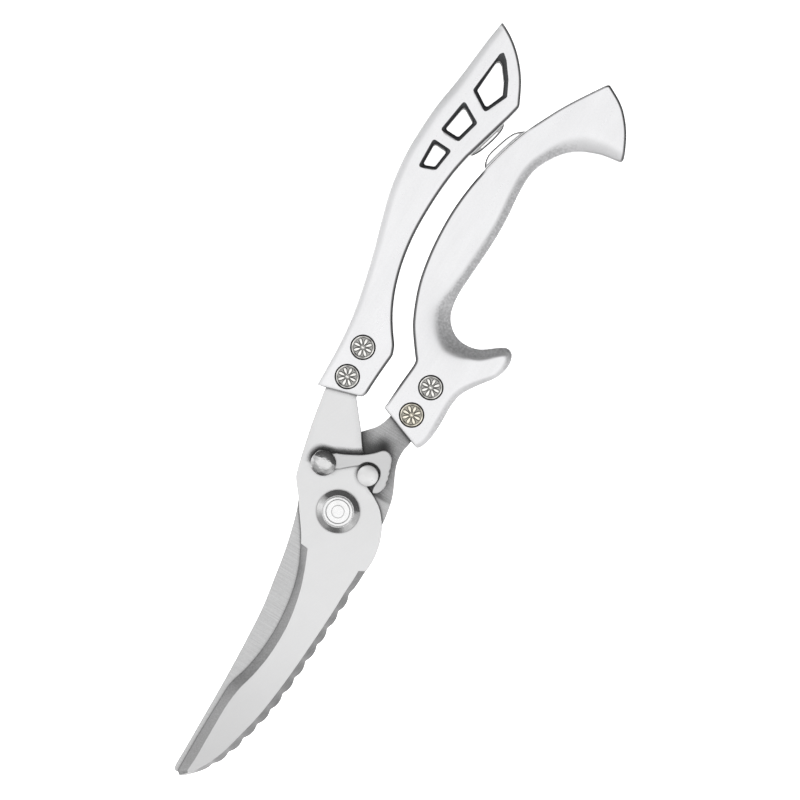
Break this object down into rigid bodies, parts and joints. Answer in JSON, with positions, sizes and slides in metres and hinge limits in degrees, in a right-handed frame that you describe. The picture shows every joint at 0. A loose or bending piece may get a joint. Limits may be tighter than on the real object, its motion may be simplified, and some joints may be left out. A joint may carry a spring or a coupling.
{
  "type": "poultry shears",
  "caption": "Kitchen shears for cutting poultry, with cast handles, a finger guard, a scalloped scaler edge and a hooked latch that holds the blades shut.",
  "frame": {"origin": "on the pivot axis, in the plane on which the shears lie, which is the closed face of the pivot nut", "axes": "+Y from the blade tips towards the handles, +X towards the finger guard, +Z out of the front face, along the pivot"},
  "size_m": [0.0626, 0.2615, 0.0127],
  "materials": {
    "blade_steel": "satin, brushed across the blade, with ground bevels",
    "cast_handle": "cast and bead-blasted, bright satin",
    "rosette_nickel": "antiqued nickel with a polished relief",
    "hardware_steel": "satin",
    "polished_pivot": "polished",
    "bush_bronze": "sintered bronze, matte",
    "spring_steel": "drawn wire",
    "latch_steel": "satin, stamped",
    "bumper_rubber": "soft white, matte"
  },
  "bodies": {
    "front_half": {"front_blade": "blade_steel", "front_handle": "cast_handle", "front_rivet_lower": "rosette_nickel", "front_rivet_upper": "rosette_nickel", "front_rivet_cap_lower": "hardware_steel", "front_rivet_cap_upper": "hardware_steel", "front_bumper": "bumper_rubber", "pivot_bolt": "polished_pivot", "pivot_collar": "polished_pivot", "pivot_nut": "hardware_steel", "pivot_washer": "hardware_steel", "latch_rivet": "polished_pivot", "latch_washer": "hardware_steel"},
    "rear_half": {"rear_blade": "blade_steel", "rear_handle": "cast_handle", "rear_rivet_lower": "rosette_nickel", "rear_rivet_upper": "rosette_nickel", "rear_rivet_cap_lower": "hardware_steel", "rear_rivet_cap_upper": "hardware_steel", "rear_bumper": "bumper_rubber", "latch_stud": "hardware_steel", "pivot_bush": "bush_bronze", "torsion_spring": "spring_steel"},
    "safety_latch": {"safety_latch": "latch_steel"}
  },
  "joints": [
    {"name": "blade_pivot", "type": "hinge", "parent": "front_half", "child": "rear_half", "pos_m": [0, 0, 0.006], "axis": [0, 0, -1], "range_deg": [-0.5, 26], "deforming": ["torsion_spring"]},
    {"name": "latch_swing", "type": "hinge", "parent": "front_half", "child": "safety_latch", "pos_m": [-0.0114, 0.0115, 0.01], "axis": [0, 0, 1], "range_deg": [-2.5, 94]}
  ],
  "couplings": [
    {"joint": "latch_swing", "follows": "blade_pivot", "ratio": 3.6}
  ]
}
